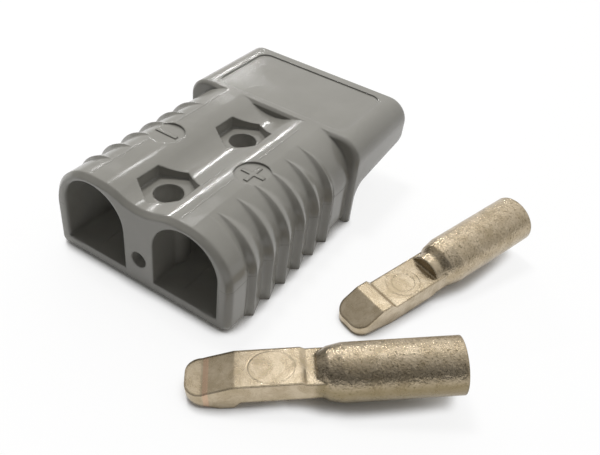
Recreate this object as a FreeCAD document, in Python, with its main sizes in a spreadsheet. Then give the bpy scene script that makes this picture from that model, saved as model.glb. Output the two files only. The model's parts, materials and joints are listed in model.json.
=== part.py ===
import FreeCAD, Part
import Sketcher
import math
import os
import re

from FreeCAD import Placement, Rotation, Vector

# Two-pole genderless battery connector, lying as it is shown: the moulded housing with its two
# leaf springs fitted, and its two crimp contacts loose on the floor beside it.
# Frame: origin on the housing's base face, midway between the two mounting holes. X runs
# across the two poles, Y from the wire end to the mating end, Z up.

SIZES = [
    # Outside of the housing
    ("overall_length", 79.4),
    ("housing_height", 24.5),
    ("body_width", 50.4),
    ("hood_width", 53.2),
    ("hood_length", 28.5),
    ("base_round", 2.2),
    ("wire_end_edge_width", 1.1),
    ("arch_spring", 12.3),
    ("arch_reach", 11.1),
    ("crest_inner", 10.5),
    ("trough_depth", 2.1),
    ("hood_roll", 5.8),
    ("hood_inner_roll", 3.0),
    ("hood_tip_edge_width", 0.8),
    ("hood_chin_round", 3.5),
    # Wire-entry cavities, one per pole
    ("pole_offset", 13.0),
    ("cavity_width", 17.8),
    ("cavity_floor", 3.35),
    ("cavity_height", 19.5),
    ("bulkhead", 3.25),
    # Underside of the hood, where the turned-over mate slides in
    ("heel_thickness", 1.8),
    ("heel_edge_width", 0.7),
    ("hood_roof", 2.3),
    ("hood_wall", 3.2),
    ("edge_rear_height", 11.2),
    ("edge_tip_height", 13.3),
    ("edge_round", 4.5),
    ("divider_width", 3.6),
    ("divider_drop", 8.6),
    ("divider_setback", 4.0),
    # Tongues that carry the contacts
    ("tongue_width", 13.6),
    ("tongue_wall", 1.7),
    ("tongue_round", 1.0),
    ("tongue_base", 3.1),
    ("tongue_floor", 2.3),
    ("tongue_height", 6.4),
    ("tongue_setback", 3.4),
    ("lip_length", 2.2),
    ("lip_height", 1.8),
    ("window_width", 10.0),
    ("window_height", 12.4),
    ("window_round", 1.5),
    # Mounting holes with their nut pockets, and the clamp screw hole
    ("mount_hole", 6.9),
    ("mount_first", 10.5),
    ("mount_spacing", 28.0),
    ("mount_boss", 10.0),
    ("nut_flats", 12.0),
    ("nut_floor", 20.65),
    ("clamp_hole", 4.2),
    ("clamp_depth", 5.5),
    ("clamp_height", 8.1),
    # Finger ribs down both sides, each a steep flank towards the wire end and a gentle one behind
    ("rib_first", 7.0),
    ("rib_pitch", 6.45),
    ("rib_flank", 1.4),
    ("rib_proud", 0.9),
    ("rib_valley", 0.7),
    ("rib_fall", 0.5),
    ("rib_gap", 0.05),
    ("rib_root", 2.0),
    ("rib_sink", 0.1),
    # Shallow recesses in the top
    ("panel_width", 39.4),
    ("panel_length", 22.4),
    ("panel_setback", 3.4),
    ("panel_round", 3.0),
    ("panel_depth", 0.3),
    ("mark_offset", 12.7),
    ("mark_place", 24.7),
    ("mark_diameter", 8.8),
    ("mark_depth", 0.5),
    # Leaf springs
    ("spring_width", 8.0),
    ("spring_thickness", 0.8),
    ("spring_gap", 0.1),
    ("spring_side_gap", 0.3),
    ("spring_tail", 36.0),
    ("spring_hook", 1.0),
    ("spring_slot_depth", 1.0),
    ("spring_hook_depth", 1.2),
    ("spring_bend", 45.5),
    ("spring_seat", 2.2),
    ("spring_reach", 62.3),
    ("spring_lift", 0.9),
    # Crimp contacts
    ("barrel_radius", 6.05),
    ("barrel_length", 26.4),
    ("barrel_bore", 9.6),
    ("barrel_bore_depth", 20.0),
    ("dome_start", 2.0),
    ("dome_bend", 3.0),
    ("dome_hip", 5.45),
    ("dome_length", 5.3),
    ("dome_foot", 4.1),
    ("neck_radius", 4.4),
    ("neck_length", 5.2),
    ("neck_top", 2.6),
    ("blade_width", 9.2),
    ("blade_length", 29.4),
    ("pad_height", 3.2),
    ("pad_length", 19.5),
    ("pad_heel", 6.2),
    ("blade_back", 1.66),
    ("tip_drop", 0.4),
    ("ramp_foot", 25.0),
    ("ramp_foot_height", 1.8),
    ("nose_plateau", 1.5),
    ("nose_start", 26.0),
    ("latch_depth", 3.1),
    ("latch_front", 22.6),
    ("latch_back", 19.8),
    ("latch_root", 18.4),
    ("nose_round", 3.2),
    # Where the two loose contacts lie: the floor point below the shoulder, and the heading
    ("near_across", 50.3),
    ("near_along", -23.5),
    ("near_heading", 36.2),
    ("far_across", 54.9),
    ("far_along", 21.0),
    ("far_heading", 69.4),
]

doc = FreeCAD.newDocument("genderless_power_connector")
dims = doc.addObject("Spreadsheet::Sheet", "dims")
for number, (alias, value) in enumerate(SIZES, start=1):
    dims.set("A%d" % number, alias)
    dims.set("B%d" % number, str(value))
    dims.setAlias("B%d" % number, alias)
doc.recompute()
ALIASES = {alias for alias, value in SIZES}


def bound(text):
    """The same formula with each size named by its cell in the sheet."""
    return re.sub(r"[a-z][a-z_]+", lambda word: "dims." + word.group() if word.group() in ALIASES
                  else word.group(), text)


def size(text):
    """The present value of a formula over the sheet."""
    value = dims.evalExpression(bound(text))
    return float(getattr(value, "Value", value))


def origin_plane(body, role):
    return [item for item in body.Origin.OriginFeatures if item.Role == role][0]


def new_body(name):
    body = doc.addObject("PartDesign::Body", name)
    body.Label = name
    return body


def new_sketch(body, name, role, lift="0", shift="0"):
    """A sketch on one of the body's own planes, lifted along its normal and shifted in X."""
    sketch = body.newObject("Sketcher::SketchObject", name)
    sketch.AttachmentSupport = [(origin_plane(body, role), "")]
    sketch.MapMode = "FlatFace"
    sketch.setExpression("AttachmentOffset.Base.z", bound(lift))
    sketch.setExpression("AttachmentOffset.Base.x", bound(shift))
    return sketch


def pin(sketch, item, point, across, along):
    """Hold one point of a sketch at a place given by two formulas."""
    for kind, formula in (("DistanceX", across), ("DistanceY", along)):
        number = sketch.addConstraint(Sketcher.Constraint(kind, -1, 1, item, point, size(formula)))
        sketch.setExpression("Constraints[%d]" % number, bound(formula))


def outline(sketch, corners):
    """A closed outline. Each corner is (x, y), or (x, y, radius, turn) where the edge that
    leaves it is an arc: turn is 1 for an arc to the left and -1 for one to the right."""
    places = [Vector(size(corner[0]), size(corner[1]), 0) for corner in corners]
    ends = []
    for number, corner in enumerate(corners):
        start = places[number]
        finish = places[(number + 1) % len(corners)]
        if len(corner) == 2:
            item = sketch.addGeometry(Part.LineSegment(start, finish), False)
            ends.append((item, 1, 2))
            continue
        radius = size(corner[2])
        chord = finish - start
        rise = math.sqrt(max(radius ** 2 - chord.Length ** 2 / 4, 0))
        left = Vector(-chord.y, chord.x, 0).normalize()
        centre = (start + finish) * 0.5 + left * rise * corner[3]
        begin, stop = (start, finish) if corner[3] > 0 else (finish, start)
        angles = [math.atan2(place.y - centre.y, place.x - centre.x) for place in (begin, stop)]
        if angles[1] < angles[0]:
            angles[1] += 2 * math.pi
        circle = Part.Circle(centre, Vector(0, 0, 1), radius)
        item = sketch.addGeometry(Part.ArcOfCircle(circle, angles[0], angles[1]), False)
        ends.append((item, 1, 2) if corner[3] > 0 else (item, 2, 1))
    for number, corner in enumerate(corners):
        item, leave, arrive = ends[number]
        following = ends[(number + 1) % len(ends)]
        sketch.addConstraint(Sketcher.Constraint("Coincident", item, arrive, following[0],
                                                 following[1]))
        pin(sketch, item, leave, corner[0], corner[1])
    for number, corner in enumerate(corners):
        if len(corner) > 2:
            item = ends[number][0]
            radius = Sketcher.Constraint("Radius", item, size(corner[2]))
            sketch.setExpression("Constraints[%d]" % sketch.addConstraint(radius),
                                 bound(corner[2]))


def circle(sketch, across, along, radius):
    place = Vector(size(across), size(along), 0)
    item = sketch.addGeometry(Part.Circle(place, Vector(0, 0, 1), size(radius)), False)
    pin(sketch, item, 3, across, along)
    number = sketch.addConstraint(Sketcher.Constraint("Radius", item, size(radius)))
    sketch.setExpression("Constraints[%d]" % number, bound(radius))


def across_middle(half):
    """The whole outline of a shape that is alike on both sides of X = 0, from its right half,
    given from the first point on the middle line to the last."""
    back = [("-(%s)" % corner[0], corner[1]) for corner in half[1:-1]]
    edges = [corner[2:] for corner in half[:-1]]
    turned = [("0", half[-1][1]) + tuple(edges[-1])]
    for number in range(len(back) - 1, -1, -1):
        turned.append(back[number] + tuple(edges[number]))
    return [tuple(corner) for corner in half[:-1]] + turned


def other_side(corners):
    """The mirror image in X = 0 of a closed outline, run the same way round."""
    places = [("-(%s)" % corner[0], corner[1]) for corner in corners]
    edges = [corner[2:] for corner in corners]
    count = len(corners)
    return [places[number] + tuple(edges[(number - 1) % count])
            for number in range(count - 1, -1, -1)]


def feature(body, kind, name, sketch, length, backward=False, both=False):
    """A pad or a pocket of the sketch, by a length given as a formula."""
    item = body.newObject("PartDesign::" + kind, name)
    item.Profile = sketch
    item.setExpression("Length", bound(length))
    item.Reversed = backward
    if both:
        item.SideType = "Symmetric"
    before = body.Shape.Volume if body.Shape and not body.Shape.isNull() else 0.0
    doc.recompute()
    change = body.Shape.Volume - before
    if (change < 0.01) if kind == "Pad" else (change > -0.01):
        raise RuntimeError("%s changed the solid by %.4f mm3" % (name, change))
    return item


def edging(body, kind, name, width, chosen):
    """A fillet or a chamfer on each edge of the present solid for which chosen(edge) is true."""
    base = body.Tip
    names = ["Edge%d" % number for number, edge in enumerate(base.Shape.Edges, start=1)
             if chosen(edge)]
    item = body.newObject("PartDesign::" + kind, name)
    item.Base = (base, names)
    item.setExpression("Radius" if kind == "Fillet" else "Size", bound(width))
    doc.recompute()
    return item


def flat_at(edge, axis, level):
    """Whether an edge lies wholly in the plane where the axis has this level."""
    box = edge.BoundBox
    low, high = {"x": (box.XMin, box.XMax), "y": (box.YMin, box.YMax),
                 "z": (box.ZMin, box.ZMax)}[axis]
    return abs(low - level) < 1e-4 and abs(high - level) < 1e-4


# Places along the housing, from midway between its mounting holes
WIRE_END = "-mount_first - mount_spacing / 2"
MATING_END = WIRE_END + " + overall_length"
HOOD_REAR = MATING_END + " - hood_length"
HEEL_FACE = HOOD_REAR + " + heel_thickness"

# Heights and widths that several features share
CAVITY_RADIUS = "cavity_width / 2"
CAVITY_SPRING = "cavity_floor + cavity_height - cavity_width / 2"
SHELF = "tongue_base + tongue_floor"

# Housing, one moulding of glossy plastic
housing = new_body("housing")


def section(body, name, place, corners):
    """The outline of a shape alike on both sides, on a plane across the length."""
    sketch = new_sketch(body, name, "XZ_Plane", "-(%s)" % place)
    outline(sketch, across_middle(corners))
    return sketch


# Hood block, its top edges rolled over into the sides, with a smaller round at either end
hood = section(housing, "hood_section", HOOD_REAR, [
    ("0", "0"),
    ("hood_width / 2", "0"),
    ("hood_width / 2", "housing_height - hood_roll", "hood_roll", 1),
    ("hood_width / 2 - hood_roll", "housing_height"),
    ("0", "housing_height")])
feature(housing, "Pad", "hood_block", hood, "hood_length", backward=True)
tip = size(MATING_END)
step = size(HOOD_REAR)
edging(housing, "Chamfer", "hood_tip_edge", "hood_tip_edge_width",
       lambda edge: flat_at(edge, "y", tip) and not flat_at(edge, "z", 0))
edging(housing, "Chamfer", "heel_edge", "heel_edge_width",
       lambda edge: flat_at(edge, "y", step) and not flat_at(edge, "z", 0))

# Room below the hood for the hood of the turned-over mate: a slanted lower edge, rounded up
# at the tip, that turns down behind the body
side = new_sketch(housing, "mate_room", "YZ_Plane")
SLOPE = "((edge_tip_height - edge_rear_height) / (hood_length - heel_thickness))"
outline(side, [
    (HEEL_FACE, "-housing_height"),
    (MATING_END + " + hood_length", "-housing_height"),
    (MATING_END + " + hood_length", "edge_tip_height + hood_chin_round"),
    (MATING_END, "edge_tip_height + hood_chin_round", "hood_chin_round", -1),
    (MATING_END + " - hood_chin_round", "edge_tip_height"),
    (HEEL_FACE + " + edge_round", "edge_rear_height + %s * edge_round" % SLOPE,
     "edge_round", 1),
    (HEEL_FACE, "edge_rear_height + %s * edge_round - edge_round" % SLOPE)])
feature(housing, "Pocket", "mate_room_cut", side, "2 * hood_width", both=True)

# Inside of the hood, open below and at the tip
ROOF = "(housing_height - hood_roof)"
inside = new_sketch(housing, "hood_inside", "XZ_Plane", "-(%s)" % MATING_END)
outline(inside, across_middle([
    ("0", "-housing_height"),
    ("hood_width / 2 - hood_wall", "-housing_height"),
    ("hood_width / 2 - hood_wall", ROOF + " - hood_inner_roll", "hood_inner_roll", 1),
    ("hood_width / 2 - hood_wall - hood_inner_roll", ROOF),
    ("0", ROOF)]))
feature(housing, "Pocket", "hood_hollow", inside, "hood_length - heel_thickness", backward=True)

# Divider between the two poles, hung from the roof of the hood and short of its tip
divider = new_sketch(housing, "divider_profile", "YZ_Plane")
outline(divider, [
    (HOOD_REAR, ROOF + " - divider_drop"),
    (MATING_END + " - divider_setback", ROOF + " - divider_drop"),
    (MATING_END + " - divider_setback", ROOF + " + hood_roof / 2"),
    (HOOD_REAR, ROOF + " + hood_roof / 2")])
feature(housing, "Pad", "divider", divider, "divider_width", both=True)

# Body: flat base, straight sides, an arch over each pole and a trough between them. Its sides
# stand back between a plain land at the wire end and another before the hood.
SWEEP = "((crest_inner ^ 2 + trough_depth ^ 2) / (4 * trough_depth))"
LAND = "(body_width / 2)"
CREST_EDGE = "(body_width / 2 - arch_reach)"
VALLEY = "(body_width / 2 - rib_valley)"
RIBS = 6
RIBS_START = WIRE_END + " + rib_first - rib_fall"
LAST_RIDGE = "%s + rib_first + %d * rib_pitch + rib_flank" % (WIRE_END, RIBS - 1)


def arch(half):
    """Radius of the arch that rises from a side this far out to the edge of the crest."""
    reach = "(%s - %s)" % (half, CREST_EDGE)
    return "((%s ^ 2 + (housing_height - arch_spring) ^ 2) / (2 * %s))" % (reach, reach)


for name, start, finish, half in (
        ("front_land", WIRE_END, RIBS_START, LAND),
        ("body_block", RIBS_START, LAST_RIDGE, VALLEY),
        ("rear_land", LAST_RIDGE, HEEL_FACE, LAND)):
    across = section(housing, name + "_section", start, [
        ("0", "0"),
        ("%s - base_round" % half, "0", "base_round", 1),
        (half, "base_round"),
        (half, "arch_spring", arch(half), 1),
        (CREST_EDGE, "housing_height"),
        ("crest_inner", "housing_height", SWEEP, 1),
        ("crest_inner / 2", "housing_height - trough_depth / 2", SWEEP, -1),
        ("0", "housing_height - trough_depth")])
    feature(housing, "Pad", name, across, "%s - (%s)" % (finish, start), backward=True)

# Broken edge round the wire end
face = size(WIRE_END)
edging(housing, "Chamfer", "wire_end_edge", "wire_end_edge_width",
       lambda edge: flat_at(edge, "y", face) and not flat_at(edge, "z", 0))

# Finger ribs: each is a tooth in plan, turned about an axis along the length so that it climbs
# the arch and runs out at the crest, over a straight foot that goes down to the base
RIDGE = "(body_width / 2 + rib_proud)"
RIDGE_AXIS = "(%s - (housing_height - arch_spring - rib_sink))" % RIDGE
ribs = new_sketch(housing, "rib_row", "XY_Plane", "arch_spring", RIDGE_AXIS)
for number in range(RIBS):
    valley = "%s + rib_first + %d * rib_pitch" % (WIRE_END, number)
    outline(ribs, [
        ("%s - %s - rib_root" % (VALLEY, RIDGE_AXIS), valley + " + rib_gap"),
        ("%s - %s" % (VALLEY, RIDGE_AXIS), valley + " + rib_gap"),
        ("%s - %s" % (RIDGE, RIDGE_AXIS), valley + " + rib_flank"),
        ("%s - %s" % (VALLEY, RIDGE_AXIS), valley + " + rib_pitch - rib_gap"),
        ("%s - %s - rib_root" % (VALLEY, RIDGE_AXIS), valley + " + rib_pitch - rib_gap")])
before = housing.Shape.Volume
crown = housing.newObject("PartDesign::Revolution", "rib_crowns")
crown.Profile = ribs
crown.ReferenceAxis = (ribs, ["V_Axis"])
crown.Angle = 90
crown.Reversed = True
doc.recompute()
if housing.Shape.Volume < before + 1:
    raise RuntimeError("the ribs add nothing")
foot = feature(housing, "Pad", "rib_feet", ribs, "arch_spring", backward=True)
mirror = housing.newObject("PartDesign::Mirrored", "rib_mirror")
mirror.Originals = [crown, foot]
mirror.MirrorPlane = (origin_plane(housing, "YZ_Plane"), [""])
housing.Tip = mirror
doc.recompute()

# Wire-entry cavities: flat floor, straight sides and a round arch over each pole
cavity = new_sketch(housing, "cavity_section", "XZ_Plane", "-(%s)" % WIRE_END)
vault = [
    ("pole_offset - %s" % CAVITY_RADIUS, "cavity_floor"),
    ("pole_offset + %s" % CAVITY_RADIUS, "cavity_floor"),
    ("pole_offset + %s" % CAVITY_RADIUS, CAVITY_SPRING, CAVITY_RADIUS, 1),
    ("pole_offset", "cavity_floor + cavity_height", CAVITY_RADIUS, 1),
    ("pole_offset - %s" % CAVITY_RADIUS, CAVITY_SPRING)]
outline(cavity, vault)
outline(cavity, other_side(vault))
feature(housing, "Pocket", "cavities", cavity, "%s - (%s) - bulkhead" % (HEEL_FACE, WIRE_END))

# Windows through the bulkhead for the contact blades
window = new_sketch(housing, "window_section", "XZ_Plane", "-(%s)" % HEEL_FACE)
opening = [
    ("pole_offset - window_width / 2", "cavity_floor"),
    ("pole_offset + window_width / 2", "cavity_floor"),
    ("pole_offset + window_width / 2", "cavity_floor + window_height - window_round",
     "window_round", 1),
    ("pole_offset + window_width / 2 - window_round", "cavity_floor + window_height"),
    ("pole_offset - window_width / 2 + window_round", "cavity_floor + window_height",
     "window_round", 1),
    ("pole_offset - window_width / 2", "cavity_floor + window_height - window_round")]
outline(window, opening)
outline(window, other_side(opening))
feature(housing, "Pocket", "windows", window, "bulkhead", backward=True)

# Tongues: a trough under each contact blade, with a lip across its tip
tongue = new_sketch(housing, "tongue_section", "XZ_Plane", "-(%s)" % HEEL_FACE)
TONGUE_LEFT = "pole_offset - tongue_width / 2"
TONGUE_RIGHT = "pole_offset + tongue_width / 2"
trough = [
    (TONGUE_LEFT, "tongue_base + tongue_round", "tongue_round", 1),
    (TONGUE_LEFT + " + tongue_round", "tongue_base"),
    (TONGUE_RIGHT + " - tongue_round", "tongue_base", "tongue_round", 1),
    (TONGUE_RIGHT, "tongue_base + tongue_round"),
    (TONGUE_RIGHT, "tongue_base + tongue_height"),
    (TONGUE_RIGHT + " - tongue_wall", "tongue_base + tongue_height"),
    (TONGUE_RIGHT + " - tongue_wall", SHELF),
    (TONGUE_LEFT + " + tongue_wall", SHELF),
    (TONGUE_LEFT + " + tongue_wall", "tongue_base + tongue_height"),
    (TONGUE_LEFT, "tongue_base + tongue_height")]
outline(tongue, trough)
outline(tongue, other_side(trough))
feature(housing, "Pad", "tongues", tongue, "hood_length - heel_thickness - tongue_setback",
        backward=True)
lip = new_sketch(housing, "lip_section", "XZ_Plane", "-(%s - tongue_setback)" % MATING_END)
bar = [
    (TONGUE_LEFT + " + tongue_wall / 2", SHELF + " - tongue_floor / 2"),
    (TONGUE_RIGHT + " - tongue_wall / 2", SHELF + " - tongue_floor / 2"),
    (TONGUE_RIGHT + " - tongue_wall / 2", SHELF + " + lip_height"),
    (TONGUE_LEFT + " + tongue_wall / 2", SHELF + " + lip_height")]
outline(lip, bar)
outline(lip, other_side(bar))
feature(housing, "Pad", "lips", lip, "lip_length")

# Slots in the cavity floors for the tails of the springs, each with a hook hole at its end
SLOT_FLOOR = "cavity_floor - spring_slot_depth"
HOOK_FLOOR = "cavity_floor - spring_slot_depth - spring_hook_depth"
TAIL = WIRE_END + " + spring_tail"


def floor_slot(name, start, finish, depth):
    """A straight slot in both cavity floors, as wide as a spring and its side clearance."""
    slot = new_sketch(housing, name + "_plan", "XY_Plane", "cavity_floor")
    left = "pole_offset - spring_width / 2 - spring_side_gap"
    right = "pole_offset + spring_width / 2 + spring_side_gap"
    box = [(left, start), (right, start), (right, finish), (left, finish)]
    outline(slot, box)
    outline(slot, other_side(box))
    feature(housing, "Pocket", name, slot, depth)


floor_slot("spring_slots", TAIL + " - spring_side_gap", HEEL_FACE, "spring_slot_depth")
floor_slot("hook_holes", TAIL + " - spring_side_gap",
           TAIL + " + spring_thickness + spring_side_gap",
           "spring_slot_depth + spring_hook_depth")

# Bosses that thicken the web round the two mounting holes
boss = new_sketch(housing, "boss_plan", "XY_Plane", "cavity_floor / 2")
for number in range(2):
    circle(boss, "0", "%s + mount_first + %d * mount_spacing" % (WIRE_END, number),
           "mount_boss / 2")
feature(housing, "Pad", "mount_bosses", boss, "nut_floor - cavity_floor")

# Hexagonal nut pockets, flats along the length, and the holes through the web
NUT_POINT = "(nut_flats / sqrt(3))"
nuts = new_sketch(housing, "nut_plan", "XY_Plane", "housing_height")
holes = new_sketch(housing, "hole_plan", "XY_Plane", "housing_height")
for number in range(2):
    middle = "%s + mount_first + %d * mount_spacing" % (WIRE_END, number)
    outline(nuts, [
        ("0", "%s - %s" % (middle, NUT_POINT)),
        ("nut_flats / 2", "%s - %s / 2" % (middle, NUT_POINT)),
        ("nut_flats / 2", "%s + %s / 2" % (middle, NUT_POINT)),
        ("0", "%s + %s" % (middle, NUT_POINT)),
        ("-nut_flats / 2", "%s + %s / 2" % (middle, NUT_POINT)),
        ("-nut_flats / 2", "%s - %s / 2" % (middle, NUT_POINT))])
    circle(holes, "0", middle, "mount_hole / 2")
feature(housing, "Pocket", "nut_pockets", nuts, "housing_height - nut_floor")
feature(housing, "Pocket", "mount_holes", holes, "2 * housing_height", both=True)

# Blind hole in the web at the wire end, for the screw of a cable clamp
clamp = new_sketch(housing, "clamp_plan", "XZ_Plane", "-(%s)" % WIRE_END)
circle(clamp, "0", "clamp_height", "clamp_hole / 2")
feature(housing, "Pocket", "clamp_hole_cut", clamp, "clamp_depth")

# Shallow label panel on the hood
panel = new_sketch(housing, "panel_plan", "XY_Plane", "housing_height")
PANEL_REAR = MATING_END + " - panel_setback - panel_length"
PANEL_TIP = MATING_END + " - panel_setback"
outline(panel, across_middle([
    ("0", PANEL_REAR),
    ("panel_width / 2 - panel_round", PANEL_REAR, "panel_round", 1),
    ("panel_width / 2", PANEL_REAR + " + panel_round"),
    ("panel_width / 2", PANEL_TIP + " - panel_round", "panel_round", 1),
    ("panel_width / 2 - panel_round", PANEL_TIP),
    ("0", PANEL_TIP)]))
feature(housing, "Pocket", "label_panel", panel, "panel_depth")

# Round recesses for the polarity marks, one on each arch
marks = new_sketch(housing, "mark_plan", "XY_Plane", "housing_height")
for side_sign in ("", "-"):
    circle(marks, side_sign + "mark_offset", WIRE_END + " + mark_place", "mark_diameter / 2")
feature(housing, "Pocket", "polarity_recesses", marks, "mark_depth")

# Leaf springs, one per pole: a bent strip that hooks into the cavity floor and rises over the
# tongue to its free end
SPRING_LOW = SLOT_FLOOR + " + spring_gap"
SPRING_HIGH = SHELF + " + spring_gap"


def leaf_spring(name, side_sign):
    body = new_body(name)
    profile = new_sketch(body, name + "_profile", "YZ_Plane", side_sign + "pole_offset")
    thick = "spring_thickness"
    bend = WIRE_END + " + spring_bend"
    tip = WIRE_END + " + spring_reach"
    seat = HEEL_FACE + " + spring_seat"
    outline(profile, [
        (TAIL, SPRING_LOW + " - spring_hook"),
        (TAIL + " + " + thick, SPRING_LOW + " - spring_hook"),
        (TAIL + " + " + thick, SPRING_LOW),
        (bend, SPRING_LOW),
        (HEEL_FACE, SPRING_HIGH),
        (seat, SPRING_HIGH),
        (tip, SPRING_HIGH + " + spring_lift"),
        (tip, SPRING_HIGH + " + spring_lift + " + thick),
        (seat, SPRING_HIGH + " + " + thick),
        (HEEL_FACE, SPRING_HIGH + " + " + thick),
        (bend, SPRING_LOW + " + " + thick),
        (TAIL, SPRING_LOW + " + " + thick)])
    feature(body, "Pad", name + "_strip", profile, "spring_width", both=True)
    return body


springs = [leaf_spring("leaf_spring_right", ""), leaf_spring("leaf_spring_left", "-")]

# Crimp contacts: a blade with a raised contact face on one side and a latch ridge on the
# other, a short neck, and a barrel for the conductor that narrows to the neck in two bands. Each
# is drawn along X with the barrel's axis on the X axis and the contact face up.


def crimp_contact(name):
    body = new_body(name)
    barrel = new_sketch(body, name + "_barrel_profile", "XZ_Plane")
    outline(barrel, [
        ("dome_start - dome_length", "0"),
        ("barrel_length", "0"),
        ("barrel_length", "barrel_radius"),
        ("dome_start", "barrel_radius"),
        ("dome_start - dome_bend", "dome_hip"),
        ("dome_start - dome_length", "dome_foot")])
    turned = body.newObject("PartDesign::Revolution", name + "_barrel")
    turned.Profile = barrel
    turned.ReferenceAxis = (barrel, ["H_Axis"])
    turned.Angle = 360
    doc.recompute()

    neck = new_sketch(body, name + "_neck_section", "YZ_Plane", "-neck_length")
    half_chord = "sqrt(neck_radius ^ 2 - neck_top ^ 2)"
    outline(neck, [
        ("-" + half_chord, "neck_top", "neck_radius", 1),
        ("0", "-neck_radius", "neck_radius", 1),
        (half_chord, "neck_top")])
    feature(body, "Pad", name + "_neck", neck, "neck_length + dome_start")

    blade = new_sketch(body, name + "_blade_profile", "XZ_Plane")
    outline(blade, [
        ("-blade_length", "-tip_drop"),
        ("-latch_front", "-latch_depth"),
        ("-latch_back", "-latch_depth"),
        ("-latch_root", "-blade_back"),
        ("0", "-blade_back"),
        ("0", "neck_top"),
        ("-neck_length", "neck_top"),
        ("-pad_heel", "pad_height"),
        ("-pad_length", "pad_height"),
        ("-ramp_foot", "ramp_foot_height"),
        ("-nose_start", "nose_plateau"),
        ("-blade_length", "nose_plateau")])
    feature(body, "Pad", name + "_blade", blade, "blade_width", both=True)

    tip = size("-blade_length")
    half = size("blade_width") / 2
    edging(body, "Fillet", name + "_nose", "nose_round",
           lambda edge: flat_at(edge, "x", tip) and edge.BoundBox.ZLength > 0.1
           and abs(abs(edge.BoundBox.YMax) - half) < 1e-4)

    bore = new_sketch(body, name + "_bore_plan", "YZ_Plane", "barrel_length")
    circle(bore, "0", "0", "barrel_bore / 2")
    feature(body, "Pocket", name + "_bore", bore, "barrel_bore_depth")
    return body


def rest(name, body, face_up, reach, drop):
    """Lay a contact down on the shoulder of its barrel and on the point of its blade that lies
    at -reach along the axis and drop below it, mouth raised."""
    start = size("dome_start")
    radius = size("barrel_radius")
    tilt = math.atan2(radius - size(drop), start + size(reach))
    height = radius * math.cos(tilt) - start * math.sin(tilt)
    body.Placement = Placement(
        Vector(size(name + "_across"), size(name + "_along"), height),
        Rotation(size(name + "_heading"), -math.degrees(tilt), 0 if face_up else 180))


contacts = [crimp_contact("contact_near"), crimp_contact("contact_far")]
rest("near", contacts[0], True, "latch_front", "latch_depth")
rest("far", contacts[1], False, "pad_length", "pad_height")

# Every object is up to date and every piece is one sound solid before anything is written
doc.recompute()
for item in doc.Objects:
    if "Invalid" in item.State or "Error" in item.State:
        raise RuntimeError("%s failed: %s" % (item.Name, item.State))
os.makedirs("parts", exist_ok=True)
for body in [housing] + springs + contacts:
    shape = body.Shape
    if shape.isNull() or not shape.isValid() or len(shape.Solids) != 1:
        raise RuntimeError("%s is not one sound solid" % body.Label)
    shape.exportStep("parts/%s.step" % body.Label)
    print("%s: %.1f mm3, %s" % (body.Label, shape.Volume, shape.BoundBox))
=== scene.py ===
import json
import math

import bpy
from mathutils import Matrix, Vector


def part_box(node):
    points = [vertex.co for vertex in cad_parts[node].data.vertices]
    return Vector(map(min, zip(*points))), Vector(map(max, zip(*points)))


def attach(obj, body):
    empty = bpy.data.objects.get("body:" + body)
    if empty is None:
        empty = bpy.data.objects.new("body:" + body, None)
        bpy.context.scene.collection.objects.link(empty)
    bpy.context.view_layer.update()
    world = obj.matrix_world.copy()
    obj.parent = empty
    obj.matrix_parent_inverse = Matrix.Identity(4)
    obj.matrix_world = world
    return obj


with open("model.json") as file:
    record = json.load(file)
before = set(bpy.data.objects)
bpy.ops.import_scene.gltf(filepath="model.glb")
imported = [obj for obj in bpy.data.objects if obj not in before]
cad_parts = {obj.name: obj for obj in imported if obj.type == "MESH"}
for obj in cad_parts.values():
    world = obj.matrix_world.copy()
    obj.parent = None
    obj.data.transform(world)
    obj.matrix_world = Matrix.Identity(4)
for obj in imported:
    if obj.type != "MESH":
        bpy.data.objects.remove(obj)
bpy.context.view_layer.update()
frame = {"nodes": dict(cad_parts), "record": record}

# Camera: hand height above the right-hand corner of the wire end, a little rolled, so that the
# top, the wire end and the right side of the housing show, with both contacts in front.
azimuth, elevation, roll = (math.radians(angle) for angle in (27.18, 39.87, 7.95))
eye = Vector((0.08098, -0.10605, 0.11542))
back = Vector((math.sin(azimuth) * math.cos(elevation),
               -math.cos(azimuth) * math.cos(elevation),
               math.sin(elevation)))
level = Vector((math.cos(azimuth), math.sin(azimuth), 0))
above = back.cross(level)
right = level * math.cos(roll) + above * math.sin(roll)
up = above * math.cos(roll) - level * math.sin(roll)
lens = bpy.data.cameras.new("view")
lens.sensor_width = 36
lens.lens = 40.98
lens.clip_start = 0.01
camera = bpy.data.objects.new("view", lens)
camera.matrix_world = Matrix((
    (right.x, up.x, back.x, eye.x),
    (right.y, up.y, back.y, eye.y),
    (right.z, up.z, back.z, eye.z),
    (0, 0, 0, 1)))
bpy.context.scene.collection.objects.link(camera)
bpy.context.scene.camera = camera
bpy.context.scene.view_settings.view_transform = "Standard"

# Housing: one injection moulding of glass-filled thermoplastic in warm grey, glossy from a
# polished mould, with faint flow marks, rubbed patches and a slightly wavy skin.
edge_round, rib_round, rib_zone = 0.0007, 0.0009, (0.0165, 0.0185)
crest_folds, crest_spans = (0.0107, -0.0140), ((-0.0218, -0.0049), (0.0054, 0.0226))
trough_fold, trough_span = 0.0065, (-0.0101, -0.0025)
fold_half, fold_height = 0.0003, 0.00008
parting_level, parting_half, parting_depth = 0.0125, 0.0002, 0.00004
flank_zone, hood_edge = (0.0222, 0.0226), (0.0264, 0.0262)
cavity_reach = 0.025


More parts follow.
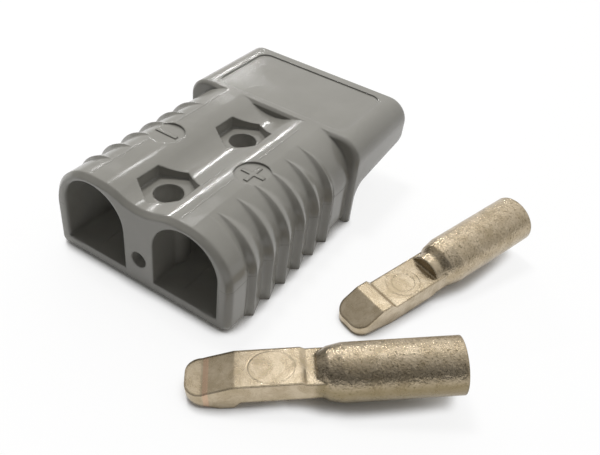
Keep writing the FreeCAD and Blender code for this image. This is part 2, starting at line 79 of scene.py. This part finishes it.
class Socket:
    """An output of a shader node, for use in arithmetic."""

    def __init__(self, tree, output=None):
        self.tree = tree
        self.output = output

    def node(self, kind, inputs=(), result=0, **settings):
        """A new node of the same tree: its settings first, then the values and links of its
        sockets, by name or number."""
        node = self.tree.nodes.new("ShaderNode" + kind)
        for name, value in settings.items():
            setattr(node, name, value)
        for name, value in dict(inputs).items():
            if isinstance(value, Socket):
                self.tree.links.new(value.output, node.inputs[name])
            else:
                node.inputs[name].default_value = value
        return Socket(self.tree, node.outputs[result])

    def calc(self, operation, *others):
        return self.node("Math", enumerate((self,) + others), operation=operation)

    def __add__(self, other):
        return self.calc("ADD", other)

    def __sub__(self, other):
        return self.calc("SUBTRACT", other)

    def __rsub__(self, other):
        return self.calc("MULTIPLY", -1) + other

    def __mul__(self, other):
        return self.calc("MULTIPLY", other)

    __radd__ = __add__
    __rmul__ = __mul__

    def ramp(self, low, high):
        """0 below low, 1 above high and smooth between. It falls where high is the lower."""
        return self.node("MapRange", {"Value": self, "From Min": low, "From Max": high},
                         interpolation_type="SMOOTHSTEP")

    def line(self, middle, half):
        """1 where this value is the middle one, falling smoothly to 0 at half away."""
        return (self - middle).calc("ABSOLUTE").ramp(half, 0.0)

    def between(self, low, high, edge=0.0006):
        """1 from low to high, with edges this wide outside them."""
        return self.ramp(low - edge, low) * self.ramp(high + edge, high)

    def mix(self, first, second):
        """The first colour where this value is 0 and the second where it is 1."""
        first, second = (shade if isinstance(shade, Socket) else shade + (1,)
                         for shade in (first, second))
        return self.node("Mix", {"Factor": self, 6: first, 7: second}, result=2,
                         data_type="RGBA")

    def dot(self, axis):
        """How far this vector reaches along an axis."""
        return self.node("VectorMath", {0: self, 1: tuple(axis)}, result="Value",
                         operation="DOT_PRODUCT")

    def place(self, axis, origin=(0, 0, 0)):
        """How far along an axis a point of the object lies from the origin, in metres."""
        offset = self.node("VectorMath", {0: self.node("TexCoord", result="Object"),
                                          1: tuple(origin)}, operation="SUBTRACT")
        return offset.dot(axis)

    def noise(self, scale, detail=2.0, roughness=0.5, distortion=0.0, stretch=(1, 1, 1)):
        """Noise over the object's own coordinates, with this many waves to the metre."""
        place = self.node("TexCoord", result="Object")
        if stretch != (1, 1, 1):
            place = self.node("Mapping", {"Vector": place, "Scale": stretch})
        return self.node("TexNoise", {"Vector": place, "Scale": scale, "Detail": detail,
                                      "Roughness": roughness, "Distortion": distortion})

    def openness(self, reach):
        """1 in the open and less where surfaces within this reach close a point in."""
        return self.node("AmbientOcclusion", {"Distance": reach}, result="AO")

    def rounded(self, radius):
        """The normal as it would be if every edge were rounded off to this radius."""
        return self.node("Bevel", {"Radius": radius}, samples=6)

    def relief(self, height, normal, strength=1.0, distance=1.0):
        """The normal of this surface with a relief of this height laid over it."""
        return self.node("Bump", {"Height": height, "Strength": strength,
                                  "Distance": distance, "Normal": normal})


def finish(name, shown, fixed):
    """A material on the Principled shader. shown(socket) gives what varies over the surface by
    socket name, and fixed gives what is the same all over."""
    material = bpy.data.materials.new(name)
    material.use_nodes = True
    tree = material.node_tree
    shader = tree.nodes["Principled BSDF"]
    for socket, value in fixed.items():
        shader.inputs[socket].default_value = value
    for socket, value in shown(Socket(tree)).items():
        tree.links.new(value.output, shader.inputs[socket])
    return material


def dress(name, material):
    """Put this material, and no other, on the node of this name."""
    materials = frame["nodes"][name].data.materials
    materials.clear()
    materials.append(material)


def moulded(socket):
    """Grey plastic, with x across both poles, y towards the hood and z up."""
    clouds = socket.noise(55, detail=3).ramp(0.35, 0.68)
    flow = socket.noise(160, detail=5, roughness=0.6, distortion=0.6, stretch=(1, 0.45, 1))
    grain = socket.noise(2600, detail=2)
    rubbed = socket.noise(95, detail=4, roughness=0.62, distortion=0.3).ramp(0.48, 0.66)
    shade = clouds.mix((0.228, 0.221, 0.197), (0.252, 0.244, 0.219))
    shade = (flow.ramp(0.4, 0.75) * 0.35).mix(shade, (0.270, 0.261, 0.234))
    x, y, z = (socket.place(axis) for axis in ((1, 0, 0), (0, 1, 0), (0, 0, 1)))
    aside = x.calc("ABSOLUTE")
    skin = socket.relief(socket.noise(330, detail=2) * 0.7 + grain * 0.09,
                         socket.rounded(aside.ramp(*rib_zone) * rib_round + edge_round),
                         strength=0.08, distance=0.0004)

    # Thin raised lines along the crests, on both sides of the polarity marks, and in the trough
    beside_mark = sum(y.between(*span) for span in crest_spans)
    folds = sum(x.line(place, fold_half) for place in crest_folds) * beside_mark
    folds = folds + x.line(trough_fold, fold_half) * y.between(*trough_span)

    # A darker parting line round both sides, as far as the hood
    parting = (z.line(parting_level, parting_half) * aside.ramp(*flank_zone)
               * y.ramp(*hood_edge))
    skin = socket.relief(folds * fold_height - parting * parting_depth, skin)
    shade = (parting * 0.35).mix(shade, (0.12, 0.115, 0.10))

    # Painted light: holes and cavities are painted paler where surfaces close them in, so that
    # they come out as light as they are in the photograph
    painted_hollow_light = socket.openness(cavity_reach).ramp(0.42, 0.1)
    return {"Base Color": painted_hollow_light.mix(shade, (0.46, 0.45, 0.42)),
            "Roughness": 0.10 + rubbed * 0.12 + grain * 0.03, "Normal": skin}


plastic = finish("housing_grey", moulded, {"IOR": 1.5, "Specular IOR Level": 0.5})
dress("housing", plastic)

# Polarity marks: a plus sign over the right pole and a minus sign over the left one, raised
# from the floor of the round recess in the crest of each arch in the same moulding.
mark_across, mark_along, mark_sink = 0.0127, 0.0247, 0.0005
mark_arm, mark_bar, mark_rise = 0.0031, 0.00055, 0.00022
housing_low, housing_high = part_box("housing")


def solid(name, outline, low, high):
    """A closed prism over a flat outline, given counter-clockwise from above."""
    count = len(outline)
    mesh = bpy.data.meshes.new(name)
    corners = [(x, y, z) for z in (low, high) for x, y in outline]
    faces = [tuple(reversed(range(count))), tuple(range(count, 2 * count))]
    faces += [(edge, (edge + 1) % count, (edge + 1) % count + count, edge + count)
              for edge in range(count)]
    mesh.from_pydata(corners, [], faces)
    piece = bpy.data.objects.new(name, mesh)
    bpy.context.scene.collection.objects.link(piece)
    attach(piece, "root")
    return piece


def sign(name, side, crossed):
    """A bar over the pole on this side, or two that cross, half sunk in the recess's floor."""
    arm, bar = mark_arm, mark_bar
    if crossed:
        outline = [(bar, bar), (bar, arm), (-bar, arm), (-bar, bar), (-arm, bar), (-arm, -bar),
                   (-bar, -bar), (-bar, -arm), (bar, -arm), (bar, -bar), (arm, -bar),
                   (arm, bar)]
    else:
        outline = [(arm, bar), (-arm, bar), (-arm, -bar), (arm, -bar)]
    middle = Vector((side * mark_across, housing_low.y + mark_along))
    floor_level = housing_high.z - mark_sink
    piece = solid(name, [(middle.x + x, middle.y + y) for x, y in outline],
                  floor_level - mark_rise, floor_level + mark_rise)
    piece.data.materials.append(plastic)


sign("plus_sign", 1, True)
sign("minus_sign", -1, False)

# Leaf springs: bright strip of spring steel, rolled, cut and bent, one in each pole. It hooks
# into the floor of the wire cavity and rises over the tongue to its free end.


def rolled(socket):
    lines = socket.noise(220, detail=6, roughness=0.7, stretch=(14, 1, 1))
    stain = socket.noise(120, detail=3).ramp(0.45, 0.75)
    shade = stain.mix((0.60, 0.59, 0.57), (0.47, 0.455, 0.43))
    scratches = socket.node("Bump", {"Height": lines, "Strength": 0.2, "Distance": 0.0002})
    return {"Base Color": shade, "Roughness": 0.24 + lines * 0.25, "Normal": scratches}


steel = finish("spring_steel", rolled, {"Metallic": 1.0})
dress("leaf_spring_right", steel)
dress("leaf_spring_left", steel)

# Contacts: forged and drilled copper under silver plate, with the mottled skin of the blank on
# the barrel, plain rings in the flat of the blade and, on the near one, a strip at the foot of
# the ramp where copper seems to show.
bore_to_shoulder = 0.0164
barrel_zone = (-0.0045, -0.0025)
ring_station, ring_share, ring_depth = -0.0122, 0.06, 0.00004
strip_span, strip_edge = (-0.0256, -0.0248), 0.0003
plate_round = 0.0008


def plated(mouth, shoulder, rings, bare, side_shade_share):
    """Silver plate for the contact whose axis runs from its shoulder to its mouth. Each ring in
    the flat of the blade is (half its length, half its width), bare is how much of the copper
    shows along the foot of the ramp, and the last value how strongly painted shade darkens and
    browns the sides."""
    along = (mouth - shoulder).normalized()
    across = along.cross(Vector((0, 0, 1))).normalized()

    def shown(socket):
        # Stations are counted from the shoulder towards the mouth
        station = socket.place(along, shoulder)
        aside = socket.place(across, shoulder)
        barrel = station.ramp(*barrel_zone)
        patches = socket.noise(240, detail=5, roughness=0.65, distortion=0.5)
        pits = socket.noise(1900, detail=4, roughness=0.75)
        hammered = socket.noise(1500, detail=3, distortion=0.4)
        shade = patches.ramp(0.36, 0.66).mix((0.595, 0.50, 0.365), (0.455, 0.37, 0.25))
        shade = (pits.ramp(0.52, 0.66) * (0.2 + barrel * 0.6)).mix(shade, (0.17, 0.13, 0.07))

        # Painted shade: darker and browner where the surface doesn't face up, a painted
        # reflection of dark surroundings on the sides, as they look in the photograph
        facing = socket.node("TexCoord", result="Normal").dot((0, 0, 1))
        painted_side_shade = facing.ramp(0.6, 0.1) * (0.2 + barrel * 0.8) * side_shade_share
        shade = painted_side_shade.mix(shade, (0.20, 0.155, 0.075))
        strip = station.between(*strip_span, strip_edge) * bare
        shade = strip.mix(shade, (0.62, 0.42, 0.29))

        # A ring is where a point is as far from its middle as its radius, within this share
        stamped = 0
        for length, width in rings:
            reach = ((station - ring_station) * (1 / length)).calc("POWER", 2)
            reach = (reach + (aside * (1 / width)).calc("POWER", 2)).calc("SQRT")
            stamped = reach.line(1, ring_share) + stamped
        skin = socket.relief((hammered * 0.6 + pits * 0.4) * (0.06 + barrel * 0.94),
                             socket.rounded(plate_round), strength=0.6, distance=0.0003)
        skin = socket.relief(stamped * -ring_depth, skin)
        return {"Base Color": shade, "Roughness": 0.18 + patches * 0.16, "Normal": skin}

    return shown


bores = {mount["name"]: mount for mount in frame["record"]["mounts"]}
# The last value on each line is how much painted shade darkens and browns that contact's sides
for name, bore, rings, bare, side_shade_share in (
        ("contact_near", "near_barrel_bore", [(0.0047, 0.0040)], 0.75, 0.75),
        ("contact_far", "far_barrel_bore", [(0.0027, 0.0027), (0.0040, 0.0040)], 0, 0.15)):
    mouth = Vector(bores[bore]["pos_m"])
    shoulder = mouth - Vector(bores[bore]["axis"]) * bore_to_shoulder
    dress(name, finish(name + "_plate", plated(mouth, shoulder, rings, bare, side_shade_share),
                       {"Metallic": 1.0}))

# Floor: a plain white sheet, as far as the camera sees, that keeps the soft shadows near the
# pieces and shows plain white in the open, also where metal mirrors it.
shadow_reach, white_share = 0.005, 0.85
bpy.ops.mesh.primitive_plane_add(size=6)
floor = bpy.context.object
floor.name = "floor"
white = finish("white_sheet", lambda socket: {},
               {"Base Color": (0.93, 0.93, 0.93, 1), "Roughness": 0.9})
floor.data.materials.append(white)
sheet = Socket(white.node_tree)
seen = sum(sheet.node("LightPath", result=ray)
           for ray in ("Is Camera Ray", "Is Glossy Ray", "Is Transmission Ray"))
clear = sheet.openness(shadow_reach).ramp(0.42, 0.82)
lit = Socket(white.node_tree, white.node_tree.nodes["Principled BSDF"].outputs[0])
shown = sheet.node("MixShader", {0: seen * clear * white_share, 1: lit,
                                 2: sheet.node("Emission")})
white.node_tree.links.new(shown.output,
                          white.node_tree.nodes["Material Output"].inputs["Surface"])

# Light: a room that is brighter overhead and behind the housing, a soft key lamp high on the
# left, two windows behind it and a thin tube lamp, whose reflections draw the bright lines.
room_lean, room_level, room_least = (0.0, 0.60, 0.35), 0.30, 0.13
world = bpy.data.worlds.new("room")
bpy.context.scene.world = world
world.use_nodes = True
room = Socket(world.node_tree)
brightness = room.node("TexCoord", result="Generated").dot(room_lean) + room_level
ground = world.node_tree.nodes["Background"]
world.node_tree.links.new(brightness.calc("MAXIMUM", room_least).output,
                          ground.inputs["Strength"])
ground.inputs["Color"].default_value = (1.0, 0.995, 0.98, 1)


def softbox(name, place, size, watts, mirrored=True):
    """A rectangular lamp that faces the origin. Unless it is mirrored, no gloss shows it."""
    lamp = bpy.data.lights.new(name, "AREA")
    lamp.shape = "RECTANGLE"
    lamp.size, lamp.size_y = size
    lamp.energy = watts
    holder = bpy.data.objects.new(name, lamp)
    holder.location = place
    holder.rotation_euler = (-Vector(place)).to_track_quat("-Z", "Y").to_euler()
    holder.visible_glossy = mirrored
    bpy.context.scene.collection.objects.link(holder)


softbox("key", (-0.264, 0.104, 0.748), (0.16, 0.16), 3.2, mirrored=False)
softbox("window", (-0.203, 0.338, 0.809), (0.34, 0.11), 0.42)
softbox("small_window", (-0.392, 0.501, 0.636), (0.07, 0.05), 0.13)
softbox("tube", (-0.591, 0.552, 0.395), (0.40, 0.008), 0.8)
